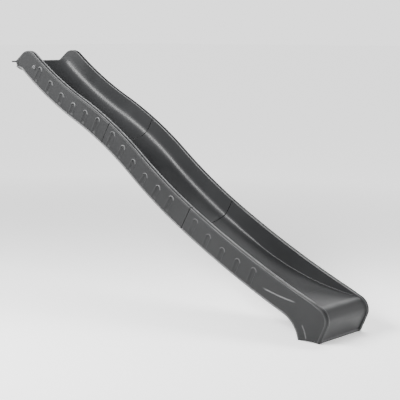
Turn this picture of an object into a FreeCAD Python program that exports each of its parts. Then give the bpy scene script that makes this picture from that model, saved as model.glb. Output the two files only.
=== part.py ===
import FreeCAD, Part
import math
import os
import re
import Sketcher
from FreeCAD import Placement, Rotation, Vector

# A wave slide for a platform about 1.5 m high: three hollow, double-walled mouldings that plug
# into each other, the bolts of the two joints, and a garden-hose inlet near the top.
#
# Every line of the side view is a track: a start point, a heading in degrees below the horizontal,
# and a list of straight runs and tangent turns. X runs down the slide from the platform's edge,
# Y across it, Z up from the ground.

doc = FreeCAD.newDocument("wave_slide")
sheet = doc.addObject("Spreadsheet::Sheet", "Dimensions")

DIMENSIONS = {
    # the wave: the rim's slopes where its curvature changes, and the radii between them
    "wave_start_x": 190, "wave_start_z": 1546.6,
    "slope_start": 37.2, "slope_shallow": 25, "slope_steep": 38.2, "slope_lower": 29.8,
    "slope_exit": 21.25,
    "radius_upper": 2517, "radius_middle": 2645, "radius_drop": 3746, "radius_exit": 6814,
    "seam_upper_x": 901, "seam_lower_x": 1586,
    # the section across the slide
    "overall_width": 416, "chute_width": 356, "skin": 3.5,
    "side_depth": 163.8, "belly_depth": 20, "belly_flat": 300,
    "junction_depth": 118, "trough_depth": 163, "trough_rise": 45,
    # the top end
    "flange_length": 48, "flange_thickness": 10, "flange_top": 1500, "end_face_foot": 1456,
    "underside_corner": 60, "floor_entry_radius": 160, "flank_slope": 36, "crest_radius": 110,
    "trough_entry_slope": 52.5, "trough_entry_radius": 454,
    "flange_hole_radius": 3.5, "flange_hole_x": -26, "flange_hole_spacing": 110,
    # the bottom end
    "arch_x": 2290, "arch_radius": 172, "arch_slope": 72, "nose_radius": 80, "nose_slope": 115,
    "nose_recess": 11, "runout_radius": 1912, "runout_start": 27.5, "runout_slope": 5.25,
    "trough_fade_radius": 2250, "trough_fade_slope": 8,
    # the two spigot joints and their bolts
    "lap_length": 60, "lap_clearance": 0.4, "lap_end_gap": 1, "bolt_radius": 3.95,
    "bolt_length": 18, "bolt_hole_radius": 4.5, "bolt_head_radius": 7.5, "bolt_head_height": 5,
    "bolt_socket_radius": 2.9, "bolt_socket_depth": 3, "bolt_outer_y": 130, "bolt_inner_y": 75,
    "washer_radius": 10, "washer_thickness": 1.6, "insert_radius": 6, "insert_bore": 4,
    "insert_length": 9, "insert_flange_radius": 9, "insert_flange_height": 1.5,
    # the stiffening recesses of the outer walls
    "recess_width": 34, "recess_foot_depth": 146, "recess_depth": 7,
    "recess_top_depth": 38, "recess_top_sag": 28,
    # the hose inlet in the near wall
    "hose_x": 187, "hose_z": 1462, "hose_bore": 5.5, "hose_shank_radius": 9,
    "hose_hole_radius": 9.2, "hose_collar_radius": 12, "hose_collar_height": 3,
    "hose_barb_radius": 8, "hose_barb_height": 1.5, "hose_barb_length": 12, "hose_seal_thickness": 2,
    "hose_nut_radius": 15, "hose_nut_height": 7,
}
for row, (alias, number) in enumerate(DIMENSIONS.items(), start=1):
    sheet.set("A%d" % row, alias)
    sheet.set("B%d" % row, str(number))
    sheet.setAlias("B%d" % row, alias)
doc.recompute()


def bound(expression):
    """The expression as another object writes it, with the sheet's name before each alias."""
    return re.sub(r"[a-z]\w*", r"Dimensions.\g<0>", expression)


def size(expression):
    """The value of an expression over the sheet's aliases."""
    return float(sheet.evalExpression(expression))


def bind(item, **expressions):
    """Bind properties of an object to expressions over the sheet's aliases."""
    for name, expression in expressions.items():
        item.setExpression(name, bound(expression))
    return item


# ---------------------------------------------------------------- tracks in the side view

def tangent(heading):
    angle = math.radians(heading)
    return Vector(math.cos(angle), 0, -math.sin(angle))


def below(heading):
    angle = math.radians(heading)
    return Vector(-math.sin(angle), 0, -math.cos(angle))


# each arc of the wave: its radius, the slope at its lower end, and 1 where it gets steeper
WAVE = (
    ("radius_upper", "slope_shallow", -1),
    ("radius_middle", "slope_steep", 1),
    ("radius_drop", "slope_lower", -1),
    ("radius_exit", "slope_exit", -1),
)


class Track:
    """A smooth line in the side view. edges holds (edge, radius expression) pairs, in order."""

    def __init__(self, start, heading):
        across = Vector(0, 1, 0)
        self.start = Placement(start, Rotation(across, below(heading), -tangent(heading), "XYZ"))
        self.point = start
        self.heading = heading
        self.edges = []
        self.moves = []

    def line_to(self, end):
        self.edges.append((Part.LineSegment(self.point, end), None))
        self.moves.append((None, end - self.point))
        self.point = end
        return self

    def run(self, length):
        return self.line_to(self.point + tangent(self.heading) * length)

    def run_to_height(self, height):
        return self.run((self.point.z - height) / math.sin(math.radians(self.heading)))

    def run_to_x(self, x):
        return self.run((x - self.point.x) / math.cos(math.radians(self.heading)))

    def turn(self, radius, heading):
        """An arc to a new heading. Its radius is an expression over the sheet's aliases."""
        reach = size(radius) * (1 if heading > self.heading else -1)
        centre = self.point + below(self.heading) * reach
        middle = centre - below((self.heading + heading) / 2) * reach
        end = centre - below(heading) * reach
        self.edges.append((Part.Arc(self.point, middle, end), radius))
        self.moves.append((heading - self.heading, centre))
        self.point = end
        self.heading = heading
        return self

    def wave(self, depth, last_arc, last_slope):
        """The arcs of the wave, at this depth below the rim, until the last arc's last slope."""
        for radius, slope_name, side in WAVE:
            radius_at_depth = "%s %s (%s)" % (radius, "-" if side > 0 else "+", depth)
            if radius == last_arc:
                return self.turn(radius_at_depth, last_slope)
            self.turn(radius_at_depth, size(slope_name))


def wave_start(depth):
    """Where the wave starts, at this depth below the rim."""
    return Vector(size("wave_start_x"), 0, size("wave_start_z")) + below(size("slope_start")) * depth


def rim_frame(x):
    """Point and slope of the rim's top at this x, on the wave."""
    point = wave_start(0)
    slope = size("slope_start")
    for radius_name, slope_name, side in WAVE:
        reach = side * size(radius_name)
        centre = point + below(slope) * reach
        next_slope = size(slope_name)
        end = centre - below(next_slope) * reach
        if x <= end.x:
            here = math.degrees(math.asin(math.sin(math.radians(slope)) + (x - point.x) / reach))
            return centre - below(here) * reach, here
        point = end
        slope = next_slope
    raise ValueError("the wave does not reach x = %g" % x)


def wave_point(x, depth):
    """The point at this depth straight below the rim's top at this x, and the slope there."""
    point, slope = rim_frame(x)
    return point + below(slope) * depth, slope


def ramp_down(start_z, radius, end, slope):
    """Where a level line must turn, and its ramp's length, to reach a point at this slope."""
    angle = math.radians(slope)
    ramp = (start_z - end.z - radius * (1 - math.cos(angle))) / math.sin(angle)
    return end.x - ramp * math.cos(angle) - radius * math.sin(angle), ramp


def nose_centre():
    """Centre of the nose's arc, which the side walls and the front panel share."""
    track = Track(wave_start(0), size("slope_start")).wave("0", "radius_exit", size("slope_exit"))
    return track.point + below(size("slope_exit")) * size("nose_radius")


def rim_track(inset):
    """Flank, crest, wave, nose and front of the side walls, this far inside the surface. The
    outer line starts on the flange's top, and the inner ones start inside the end face."""
    slope = size("slope_start")
    flank = size("flank_slope")
    crest_radius = "crest_radius - (%s)" % inset
    crest_start = wave_start(size(inset)) + below(slope) * size(crest_radius)
    flank_top = crest_start - below(-flank) * size(crest_radius)
    if size(inset):
        flank_length = (flank_top.x - size(inset)) / math.cos(math.radians(flank))
    else:
        flank_length = (flank_top.z - size("flange_top")) / math.sin(math.radians(flank))
    track = Track(flank_top - tangent(-flank) * flank_length, -flank).run(flank_length)
    track.turn(crest_radius, slope).wave(inset, "radius_exit", size("slope_exit"))
    return track.turn("nose_radius - (%s)" % inset, size("nose_slope")).run_to_height(size(inset))


def bottom_track(belly, inset):
    """Lower edge of the walls, or the underside's middle where belly is its extra depth, from
    the end face to the heel, this far inside the surface."""
    slope = size("slope_start")
    deeper = "%s - (%s)" % (belly, inset)
    radius = "underside_corner - (%s)" % deeper
    depth = "side_depth + " + deeper
    start_z = size("end_face_foot - (%s)" % deeper)
    turn_x, ramp = ramp_down(start_z, size(radius), wave_start(size(depth)), slope)
    start = Vector(size(inset), 0, start_z)
    track = Track(start, 0).run_to_x(turn_x).turn(radius, slope).run(ramp)
    arch_rim_x = size("arch_x") + size("side_depth") * math.sin(math.radians(size("slope_exit")))
    track.wave(depth, "radius_exit", rim_frame(arch_rim_x)[1])
    return track.turn("arch_radius - (%s)" % deeper, size("arch_slope")).run_to_height(size(inset))


def floor_track(margin, inset):
    """The flat floor between the walls, or a line this far under it: flange, wave, run-out, lip
    and front panel."""
    slope = size("slope_start")
    depth = "junction_depth + " + inset
    entry_radius = "floor_entry_radius - (%s)" % inset
    start_z = size("flange_top - (%s)" % inset)
    turn_x, ramp = ramp_down(start_z, size(entry_radius), wave_start(size(depth)), slope)
    track = Track(Vector(-size("flange_length") - margin, 0, start_z), 0).run_to_x(turn_x)
    track.turn(entry_radius, slope).run(ramp)
    track.wave(depth, "radius_exit", size("runout_start"))
    track.turn("runout_radius + " + inset, size("runout_slope"))
    lip_radius = "nose_radius - nose_recess - (%s)" % inset
    lip_start = nose_centre() - below(size("runout_slope")) * size(lip_radius)
    track.line_to(lip_start).turn(lip_radius, size("nose_slope"))
    return track.run_to_height(-margin)


def trough_track():
    """Deepest line of the concave trough in the floor, from the flange until it fades out."""
    slope = size("slope_start")
    entry_slope = size("trough_entry_slope")
    entry_radius = size("trough_entry_radius")
    centre = wave_start(size("trough_depth")) - below(slope) * entry_radius
    track = Track(centre + below(entry_slope) * entry_radius, entry_slope)
    track.turn("trough_entry_radius", slope)
    track.wave("trough_depth", "radius_drop", rim_frame(size("seam_lower_x"))[1])
    return track.turn("trough_fade_radius", size("trough_fade_slope"))


# ---------------------------------------------------------------- sketches and solids

def add_sketch(name, edges, placement=Placement(Vector(), Rotation(Vector(1, 0, 0), 90))):
    """A sketch of joined edges, their ends tied and their radii bound. XZ plane by default."""
    sketch = doc.addObject("Sketcher::SketchObject", name)
    sketch.Placement = placement
    to_sketch = placement.inverse()
    ends = []
    for edge, radius in edges:
        index = sketch.addGeometry(local_copy(edge, to_sketch), False)
        first = sketch.getPoint(index, 1)
        ends.append((1, 2) if first.distanceToPoint(to_sketch.multVec(edge.StartPoint)) < 1e-4
                    else (2, 1))
        if radius:
            number = sketch.addConstraint(Sketcher.Constraint("Radius", index, size(radius)))
            sketch.setExpression("Constraints[%d]" % number, bound(radius))
    for index in range(len(edges)):
        following = (index + 1) % len(edges)
        gap = edges[index][0].EndPoint.distanceToPoint(edges[following][0].StartPoint)
        if gap < 1e-6:
            sketch.addConstraint(Sketcher.Constraint(
                "Coincident", index, ends[index][1], following, ends[following][0]))
    return sketch


def local_copy(edge, to_sketch):
    """The edge in a sketch's own flat coordinates."""
    start = to_sketch.multVec(edge.StartPoint)
    end = to_sketch.multVec(edge.EndPoint)
    if isinstance(edge, Part.LineSegment):
        return Part.LineSegment(start, end)
    middle = edge.value((edge.FirstParameter + edge.LastParameter) / 2)
    return Part.Arc(start, to_sketch.multVec(middle), end)


def polygon(points):
    """Straight edges round a closed outline."""
    return [(Part.LineSegment(a, b), None) for a, b in zip(points, points[1:] + points[:1])]


def extrude(name, source, width):
    """A solid of this width, half each side of the slide's centre plane."""
    solid = doc.addObject("Part::Extrusion", name)
    solid.Base = source
    solid.DirMode = "Custom"
    solid.Dir = Vector(0, 1, 0)
    solid.Symmetric = True
    solid.Solid = True
    return bind(solid, LengthFwd=width)


def carry(name, outline, track):
    """A solid that an outline across the slide leaves as it follows a track. Each run carries it
    straight, and each turn takes it about the turn's own centre, so every face is exact."""
    face = Part.Face(outline.Shape)
    pieces = []
    for bend, place in track.moves:
        if bend is None:
            pieces.append(face.extrude(place))
            face = face.translated(place)
        else:
            pieces.append(face.revolve(place, Vector(0, 1, 0), bend))
            face = face.rotated(place, Vector(0, 1, 0), bend)
    solid = doc.addObject("Part::Feature", name)
    solid.Shape = pieces[0].multiFuse(pieces[1:])
    return solid


def combine(kind, name, first, second):
    """Part::Cut of the second from the first, or Part::Common of both."""
    item = doc.addObject(kind, name)
    item.Base = first
    item.Tool = second
    return item


def fuse(name, items):
    if len(items) == 1:
        return items[0]
    item = doc.addObject("Part::MultiFuse", name)
    item.Shapes = items
    item.Refine = False
    return item


# ---------------------------------------------------------------- the moulding's volume

REACH = 300          # how far the cutting solids reach past the slide
OVERRUN = 1          # how far a hole's cylinder starts before its skin and ends after it
FLOOR_MARGIN = 5     # how far the floor's cutter runs past the flange and the ground
TROUGH_HEADROOM = 22 # how far the trough's cutter stands above the floor's edges
BELLY_BULGE = (0.45, 0.78)  # middle of the underside's side curve, as shares of its width and depth


def side_outline(name, inset):
    """The slide from the side, this far inside its surface. The flange is solid, so only the
    outer outline has it."""
    rim = rim_track(inset)
    underside = bottom_track("belly_depth", inset)
    edges = list(rim.edges)
    edges.append((Part.LineSegment(rim.point, underside.point), None))
    edges += [(reversed_edge(edge), radius) for edge, radius in reversed(underside.edges)]
    corners = [edges[-1][0].EndPoint, edges[0][0].StartPoint]
    if not size(inset):
        flange_x = -size("flange_length")
        deck_z = size("flange_top - flange_thickness")
        corners[1:1] = [Vector(0, 0, deck_z), Vector(flange_x, 0, deck_z),
                        Vector(flange_x, 0, size("flange_top"))]
    edges += [(Part.LineSegment(a, b), None) for a, b in zip(corners, corners[1:])]
    return add_sketch(name, edges)


def reversed_edge(edge):
    if isinstance(edge, Part.LineSegment):
        return Part.LineSegment(edge.EndPoint, edge.StartPoint)
    middle = edge.value((edge.FirstParameter + edge.LastParameter) / 2)
    return Part.Arc(edge.EndPoint, middle, edge.StartPoint)


def mouth_outline(name, inset):
    """What is open above the floor and in front of the front panel, from the side."""
    floor = floor_track(FLOOR_MARGIN, inset)
    top = size("flange_top") + REACH
    start = floor.edges[0][0].StartPoint
    front_x = floor.point.x + REACH
    corners = [floor.point, Vector(front_x, 0, floor.point.z), Vector(front_x, 0, top),
               Vector(start.x, 0, top), start]
    edges = floor.edges + [(Part.LineSegment(a, b), None) for a, b in zip(corners, corners[1:])]
    return add_sketch(name, edges)


def trough_profile(name, inset, path_start):
    """The concave floor across the slide, a low arc under a flat top, grown by the inset."""
    half = size("chute_width") / 2
    rise = size("trough_rise")
    radius = (half ** 2 + rise ** 2) / (2 * rise)
    grown_half = half + size(inset)
    grown_radius = radius + size(inset)
    rim_y = math.sqrt(grown_radius ** 2 - grown_half ** 2) - radius
    top_y = rim_y - TROUGH_HEADROOM
    arc = Part.Arc(Vector(-grown_half, rim_y, 0), Vector(0, size(inset), 0),
                   Vector(grown_half, rim_y, 0))
    corners = [Vector(grown_half, rim_y, 0), Vector(grown_half, top_y, 0),
               Vector(-grown_half, top_y, 0), Vector(-grown_half, rim_y, 0)]
    edges = [(arc, None)] + [(Part.LineSegment(a, b), None) for a, b in zip(corners, corners[1:])]
    return placed_profile(name, edges, path_start)


def belly_profile(name, inset, path_start):
    """What lies outside the underside, flat in its middle and rising in a curve to each wall,
    raised by the inset."""
    half = size("overall_width") / 2
    flat = size("belly_flat") / 2
    edge_y = -size(inset)
    belly = size("belly_depth") - size(inset)
    outer = half + REACH
    deep = 2 * size("belly_depth")
    across, down = BELLY_BULGE
    low = Vector(flat + (half - flat) * across, edge_y + size("belly_depth") * down, 0)
    right = Part.Arc(Vector(half, edge_y, 0), low, Vector(flat, belly, 0))
    left = Part.Arc(Vector(-flat, belly, 0), Vector(-low.x, low.y, 0), Vector(-half, edge_y, 0))
    middle = Part.LineSegment(Vector(flat, belly, 0), Vector(-flat, belly, 0))
    corners = [Vector(-half, edge_y, 0), Vector(-outer, edge_y, 0), Vector(-outer, deep, 0),
               Vector(outer, deep, 0), Vector(outer, edge_y, 0), Vector(half, edge_y, 0)]
    edges = [(right, None), (middle, None), (left, None)]
    edges += [(Part.LineSegment(a, b), None) for a, b in zip(corners, corners[1:])]
    return placed_profile(name, edges, path_start)


def placed_profile(name, flat_edges, placement):
    """A sketch drawn in its own flat coordinates and then put in its place."""
    edges = [(in_place(edge, placement), radius) for edge, radius in flat_edges]
    return add_sketch(name, edges, placement)


def in_place(edge, placement):
    start = placement.multVec(edge.StartPoint)
    end = placement.multVec(edge.EndPoint)
    if isinstance(edge, Part.LineSegment):
        return Part.LineSegment(start, end)
    middle = edge.value((edge.FirstParameter + edge.LastParameter) / 2)
    return Part.Arc(start, placement.multVec(middle), end)


def slide_volume(name, inset):
    """The whole slide as one solid whose surface lies this far (an expression) inside the
    outer surface."""
    trough = trough_track()
    belly = bottom_track("0", "0").run(REACH)
    block = extrude(name + "_block", side_outline(name + "_side", inset),
                    "overall_width - 2 * (%s)" % inset)
    opening = extrude(name + "_opening", mouth_outline(name + "_mouth", inset),
                      "chute_width + 2 * (%s)" % inset)
    trough_face = trough_profile(name + "_trough_profile", inset, trough.start)
    belly_face = belly_profile(name + "_belly_profile", inset, belly.start)
    doc.recompute()
    cuts = [opening, carry(name + "_trough", trough_face, trough),
            carry(name + "_belly", belly_face, belly)]
    return combine("Part::Cut", name, block, fuse(name + "_cuts", cuts))


# ---------------------------------------------------------------- the three mouldings

def cut_at(x, shift):
    """Two points on the plane across the wave at this rim x, moved along the slope by shift."""
    point, slope = rim_frame(x)
    point = point + tangent(slope) * shift
    return [point - below(slope) * REACH, point + below(slope) * REACH]


def region(name, start, end):
    """A block across the slide between two cuts, each given as its upper and lower point."""
    return extrude(name, add_sketch(name + "_outline", polygon(start + end[::-1])), "2 * overall_width")


def portion(name, volume, start, end):
    """What a volume has between two cuts."""
    return combine("Part::Common", name, volume, region(name + "_region", start, end))


def top_end(x):
    return [Vector(x, 0, size("flange_top") + REACH), Vector(x, 0, size("end_face_foot") - REACH)]


def bottom_end():
    x = nose_centre().x + REACH
    return [Vector(x, 0, 2 * REACH), Vector(x, 0, -2 * REACH)]


def with_socket(name, cavity_parts, seam_x, inner):
    """Add the open socket that takes the next moulding's spigot."""
    lap = size("lap_length")
    past_end = cut_at(seam_x, size("skin"))
    cavity_parts.append(portion(name + "_socket", inner, cut_at(seam_x, -lap), past_end))


def with_spigot(name, outer_parts, cavity_parts, seam_x, volumes):
    """Add the hollow spigot that plugs into the moulding above."""
    skin = size("skin")
    reach = size("lap_length - lap_end_gap")
    outer_parts.append(portion(name + "_spigot", volumes["spigot"], cut_at(seam_x, -reach),
                               cut_at(seam_x, skin)))
    cavity_parts.append(portion(name + "_spigot_hollow", volumes["spigot_hollow"],
                                cut_at(seam_x, skin - reach), cut_at(seam_x, 2 * skin)))


# ---------------------------------------------------------------- holes and recesses

def cylinder(name, radius, length, placement):
    item = doc.addObject("Part::Cylinder", name)
    item.Placement = placement
    return bind(item, Radius=radius, Height=length)


def hexagon(name, radius, length, placement):
    item = doc.addObject("Part::Prism", name)
    item.Polygon = 6
    item.Placement = placement
    return bind(item, Circumradius=radius, Height=length)


def raised(placement, height):
    """The same place, this far along its own local Z."""
    return Placement(placement.multVec(Vector(0, 0, height)), placement.Rotation)


def joint_places(seam_x):
    """Where the bolts of a joint pass the underside, local Z pointing into the slide."""
    _, slope = rim_frame(seam_x)
    lap_middle = seam_x - size("lap_length") / 2 * math.cos(math.radians(slope))
    point, slope = wave_point(lap_middle, size("side_depth + belly_depth"))
    upright = Rotation(Vector(), Vector(0, 1, 0), -below(slope), "ZYX")
    outer_y, inner_y = size("bolt_outer_y"), size("bolt_inner_y")
    return [Placement(Vector(point.x, y, point.z), upright)
            for y in (-outer_y, -inner_y, inner_y, outer_y)]


def socket_holes(name, seam_x):
    """Clearance holes for the bolts through the outer moulding's bottom skin."""
    length = "skin + %g" % (2 * OVERRUN)
    return [cylinder(name + "_bolt_hole", "bolt_hole_radius", length, raised(place, -OVERRUN))
            for place in joint_places(seam_x)]


def spigot_holes(name, seam_x):
    """Holes for the threaded inserts through the spigot's bottom skin."""
    return [cylinder(name + "_insert_hole", "insert_radius", "skin + 2 * lap_clearance",
                     raised(place, size("skin")))
            for place in joint_places(seam_x)]


def flange_holes():
    """Four holes in a row across the flange, for the screws into the platform's deck."""
    spacing = size("flange_hole_spacing")
    bottom = size("flange_top - flange_thickness") - OVERRUN
    length = "flange_thickness + %g" % (2 * OVERRUN)
    return [cylinder("flange_hole", "flange_hole_radius", length,
                     Placement(Vector(size("flange_hole_x"), spacing * step, bottom), Rotation()))
            for step in (-1.5, -0.5, 0.5, 1.5)]


def hose_place(y_inside):
    """On the hose inlet's axis, this far inside the near wall's face, local Z pointing out."""
    y = -size("overall_width") / 2 + y_inside
    return Placement(Vector(size("hose_x"), y, size("hose_z")), Rotation(Vector(1, 0, 0), 90))


def hose_hole():
    wall = "(overall_width - chute_width) / 2"
    length = "%s + %g" % (wall, 2 * OVERRUN)
    return cylinder("hose_hole", "hose_hole_radius", length, hose_place(size(wall) + OVERRUN))


def recess_outline(name, first_x, last_x, count, amount):
    """One sketch of the arched recesses along a moulding's wall, upright on the slope, grown by
    this amount. They reach less far up in the moulding's middle than at its ends."""
    edges = []
    half = size("recess_width / 2 + " + amount)
    for number in range(count):
        share = number / (count - 1)
        crown_depth = size("recess_top_depth") + size("recess_top_sag") * math.sin(math.pi * share)
        point, slope = rim_frame(first_x + share * (last_x - first_x))
        foot = point + below(slope) * size("recess_foot_depth + " + amount)
        crown = point + below(slope) * (crown_depth - size(amount))
        spring = crown + below(slope) * half
        side = tangent(slope) * half
        corners = [spring + side, foot + side, foot - side, spring - side]
        edges += polygon(corners)[:3]
        edges.append((Part.Arc(spring - side, crown, spring + side), None))
    return add_sketch(name, edges)


def recess_blocks(name, row, amount, depth, start, end):
    """The recesses of both walls as solids this deep, their outlines grown by this amount."""
    outline = recess_outline(name + "_outline", *row, amount)
    bars = extrude(name + "_bars", outline, "overall_width + %g" % (2 * OVERRUN))
    core_outline = add_sketch(name + "_core_outline", polygon(start + end[::-1]))
    core = extrude(name + "_core", core_outline, "overall_width - 2 * (%s)" % depth)
    return combine("Part::Cut", name, bars, core)


# ---------------------------------------------------------------- fasteners and hose inlet

def bolt(place):
    """A socket-head bolt, head down, through washer and skins into its insert."""
    head_place = raised(place, -size("washer_thickness + bolt_head_height"))
    head = cylinder("bolt_head", "bolt_head_radius", "bolt_head_height", head_place)
    shank = cylinder("bolt_shank", "bolt_radius", "bolt_head_height + bolt_length", head_place)
    socket = hexagon("bolt_socket", "bolt_socket_radius", "bolt_socket_depth", head_place)
    return combine("Part::Cut", "bolt", fuse("bolt_body", [head, shank]), socket)


def washer(place):
    face = raised(place, -size("washer_thickness"))
    disc = cylinder("washer_disc", "washer_radius", "washer_thickness", face)
    hole = cylinder("washer_hole", "bolt_hole_radius", "washer_thickness", face)
    return combine("Part::Cut", "washer", disc, hole)


def insert(place):
    """A flanged threaded insert: its flange bears on the inside of the spigot's bottom skin."""
    outer_face = raised(place, size("skin + lap_clearance"))
    flange_place = raised(outer_face, size("skin"))
    body = cylinder("insert_body", "insert_radius", "insert_length", outer_face)
    flange = cylinder("insert_flange", "insert_flange_radius", "insert_flange_height", flange_place)
    thread = cylinder("insert_thread", "insert_bore", "insert_length", outer_face)
    return combine("Part::Cut", "insert", fuse("insert_solid", [body, flange]), thread)


def group(label, make, places):
    """Identical fasteners as one node of separate solids."""
    item = doc.addObject("Part::Compound", label)
    item.Links = [make(place) for place in places]
    return item


def hose_nipple():
    """A through-wall fitting turned in one piece: barbed tail, collar, and a shank that ends
    flush in the chute."""
    body = doc.addObject("PartDesign::Body", "hose_nipple")
    sketch = body.newObject("Sketcher::SketchObject", "hose_nipple_profile")
    plane = [item for item in body.Origin.OriginFeatures if item.Role == "XZ_Plane"][0]
    sketch.AttachmentSupport = [(plane, "")]
    sketch.MapMode = "FlatFace"
    bore = size("hose_bore")
    shank = size("hose_shank_radius")
    barb = size("hose_barb_radius")
    tail = size("hose_barb_radius - hose_barb_height")
    collar = size("hose_collar_radius")
    wall = (size("overall_width") - size("chute_width")) / 2
    collar_foot = size("hose_seal_thickness")
    tail_foot = collar_foot + size("hose_collar_height")
    tail_end = tail_foot + size("hose_barb_length")
    outline = [(bore, -wall), (shank, -wall), (shank, collar_foot), (collar, collar_foot),
               (collar, tail_foot), (tail, tail_foot)]
    barb_pitch = size("hose_barb_length") / 3
    for number in range(3):
        barb_foot = tail_foot + number * barb_pitch
        outline.append((tail, barb_foot + barb_pitch / 3))
        outline.append((barb, barb_foot + barb_pitch / 3))
        outline.append((tail, barb_foot + barb_pitch))
    outline.append((bore, tail_end))
    corners = [Vector(x, z, 0) for x, z in outline]
    for first, second in zip(corners, corners[1:] + corners[:1]):
        sketch.addGeometry(Part.LineSegment(first, second), False)
    for index in range(len(corners)):
        sketch.addConstraint(Sketcher.Constraint(
            "Coincident", index, 2, (index + 1) % len(corners), 1))
    turned = body.newObject("PartDesign::Revolution", "hose_nipple_turned")
    turned.Profile = sketch
    turned.ReferenceAxis = (sketch, ["V_Axis"])
    turned.Angle = 360
    body.Placement = hose_place(0)
    return body


def hose_ring(label, make_outer, outer_radius, thickness, y_inside):
    """The seal or the lock nut: a ring on the nipple's shank."""
    place = hose_place(y_inside)
    outer = make_outer(label + "_outer", outer_radius, thickness, place)
    inner = cylinder(label + "_bore", "hose_shank_radius", thickness, place)
    return combine("Part::Cut", label, outer, inner)


# ---------------------------------------------------------------- the assembly

def moulding(name, volumes, start, end, upper_seam, lower_seam, recess_row, holes):
    """One double-walled moulding: hollow between its skins, closed at its ends but for the
    socket, with its recesses, and with its holes cut through the skins."""
    outer_parts = [portion(name + "_outer", volumes["outer"], start, end)]
    hollow_start = cut_at(upper_seam, size("skin")) if upper_seam else top_end(size("skin"))
    hollow_end = cut_at(lower_seam, -size("lap_length + skin")) if lower_seam else end
    cavity_parts = [portion(name + "_hollow", volumes["inner"], hollow_start, hollow_end)]
    if lower_seam:
        with_socket(name, cavity_parts, lower_seam, volumes["inner"])
    if upper_seam:
        with_spigot(name, outer_parts, cavity_parts, upper_seam, volumes)
    recess = recess_blocks(name + "_recesses", recess_row, "0", "recess_depth", start, end)
    backing = recess_blocks(name + "_recess_backs", recess_row, "skin", "recess_depth + skin",
                            start, end)
    recessed = combine("Part::Cut", name + "_recessed", fuse(name + "_solid", outer_parts), recess)
    cavity = combine("Part::Cut", name + "_cavity", fuse(name + "_hollows", cavity_parts), backing)
    taken = fuse(name + "_taken", [cavity] + holes)
    return combine("Part::Cut", name + "_section", recessed, taken)


def write(node, item):
    """Check one sub-part and write its STEP file."""
    shape = item.Shape
    if shape.isNull() or not shape.isValid() or not shape.Solids:
        raise ValueError("%s has no valid solid" % node)
    shape.exportStep(os.path.join("parts", node + ".step"))
    print("%-24s %2d solid(s), %10.0f mm3" % (node, len(shape.Solids), shape.Volume))


nested = {
    "outer": slide_volume("outer", "0"),
    "inner": slide_volume("inner", "skin"),
    "spigot": slide_volume("spigot", "skin + lap_clearance"),
    "spigot_hollow": slide_volume("spigot_hollow", "2 * skin + lap_clearance"),
}
upper_x = size("seam_upper_x")
lower_x = size("seam_lower_x")
upper_cut = cut_at(upper_x, 0)
lower_cut = cut_at(lower_x, 0)

# first x, last x and count of each moulding's recesses
TOP_RECESSES = (270, 815, 6)
MIDDLE_RECESSES = (955, 1457, 6)
BOTTOM_RECESSES = (1651, 2095, 5)

nodes = {
    "top_section": moulding(
        "top", nested, top_end(-REACH), upper_cut, None, upper_x, TOP_RECESSES,
        socket_holes("top", upper_x) + flange_holes() + [hose_hole()]),
    "middle_section": moulding(
        "middle", nested, upper_cut, lower_cut, upper_x, lower_x, MIDDLE_RECESSES,
        spigot_holes("middle", upper_x) + socket_holes("middle", lower_x)),
    "bottom_section": moulding(
        "bottom", nested, lower_cut, bottom_end(), lower_x, None, BOTTOM_RECESSES,
        spigot_holes("bottom", lower_x)),
    "hose_nipple": hose_nipple(),
    "hose_seal": hose_ring("hose_seal", cylinder, "hose_collar_radius", "hose_seal_thickness", 0),
    "hose_lock_nut": hose_ring("hose_lock_nut", hexagon, "hose_nut_radius", "hose_nut_height",
                               size("skin + hose_nut_height")),
}
for joint, seam_x in (("upper_joint", upper_x), ("lower_joint", lower_x)):
    places = joint_places(seam_x)
    nodes[joint + "_bolts"] = group(joint + "_bolts", bolt, places)
    nodes[joint + "_washers"] = group(joint + "_washers", washer, places)
    nodes[joint + "_inserts"] = group(joint + "_inserts", insert, places)

# The part's own origin is the middle of the flange's screw row, on the platform's deck.
origin = Vector(size("flange_hole_x"), 0, size("flange_top - flange_thickness"))
for node, item in nodes.items():
    item.Label = node
    item.Placement = Placement(-origin, Rotation()) * item.Placement

doc.recompute()
for item in doc.Objects:
    if "Invalid" in item.State or "Error" in item.State:
        raise ValueError("%s did not build" % item.Label)
os.makedirs("parts", exist_ok=True)
for node, item in nodes.items():
    write(node, item)
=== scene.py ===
import math

import bmesh
import bpy
import numpy as np
from mathutils import Matrix, Vector


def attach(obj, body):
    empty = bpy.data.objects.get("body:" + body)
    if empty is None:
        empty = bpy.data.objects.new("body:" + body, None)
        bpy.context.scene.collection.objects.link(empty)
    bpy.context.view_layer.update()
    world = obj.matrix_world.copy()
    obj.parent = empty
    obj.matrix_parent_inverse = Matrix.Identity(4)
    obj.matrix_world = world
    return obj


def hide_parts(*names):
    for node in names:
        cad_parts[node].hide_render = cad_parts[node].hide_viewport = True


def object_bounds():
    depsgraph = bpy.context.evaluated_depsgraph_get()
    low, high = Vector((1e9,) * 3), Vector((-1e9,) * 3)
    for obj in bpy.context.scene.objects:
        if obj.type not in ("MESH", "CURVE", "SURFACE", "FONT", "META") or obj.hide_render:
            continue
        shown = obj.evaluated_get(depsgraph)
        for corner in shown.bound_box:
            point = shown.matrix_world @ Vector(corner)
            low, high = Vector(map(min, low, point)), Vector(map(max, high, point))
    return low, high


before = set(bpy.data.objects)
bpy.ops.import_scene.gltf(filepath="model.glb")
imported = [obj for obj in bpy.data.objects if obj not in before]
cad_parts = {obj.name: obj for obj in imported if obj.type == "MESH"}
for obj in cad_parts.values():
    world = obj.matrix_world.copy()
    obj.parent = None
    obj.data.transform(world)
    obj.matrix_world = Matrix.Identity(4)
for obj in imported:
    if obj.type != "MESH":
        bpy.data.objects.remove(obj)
cad_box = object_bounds()

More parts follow.
